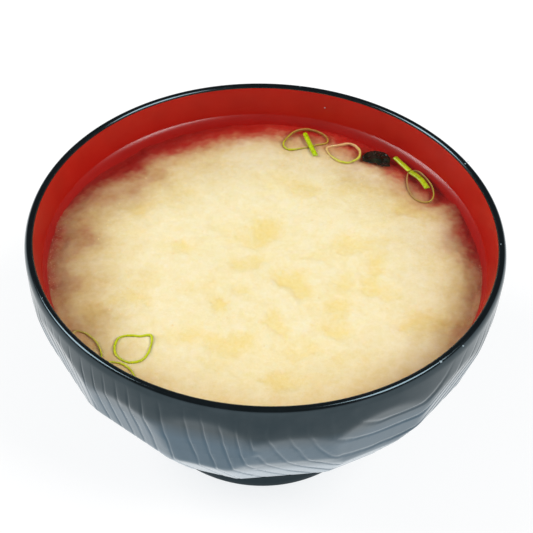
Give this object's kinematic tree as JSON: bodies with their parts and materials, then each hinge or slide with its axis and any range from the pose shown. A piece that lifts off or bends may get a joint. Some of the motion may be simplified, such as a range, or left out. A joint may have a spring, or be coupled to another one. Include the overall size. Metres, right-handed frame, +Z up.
{
  "type": "miso soup in a bowl",
  "caption": "Miso soup with scallion rings, scallion slivers and wakame in a round lacquer bowl with a facet-hewn, wood-grained outside, red inside and a ring foot.",
  "frame": {"origin": "on the table, under the middle of the bowl's foot", "axes": "+Z up out of the soup, -Y towards the eater"},
  "size_m": [0.115, 0.115, 0.0641],
  "materials": {
    "black_lacquer": "gloss black lacquer",
    "red_lacquer": "gloss red lacquer",
    "miso_broth": "clouded miso under clear broth",
    "scallion_green": "wet green scallion",
    "wakame_green": "wet dark wakame"
  },
  "bodies": {
    "root": {"bowl": "black_lacquer", "soup": "miso_broth", "scallion_ring_back": "scallion_green", "scallion_ring_teardrop": "scallion_green", "scallion_ring_long": "scallion_green", "scallion_ring_front": "scallion_green", "scallion_ring_wall": "scallion_green", "scallion_ring_rim": "scallion_green", "scallion_sliver_back": "scallion_green", "scallion_sliver_side": "scallion_green", "scallion_sliver_tail": "scallion_green", "wakame": "wakame_green"}
  },
  "joints": []
}
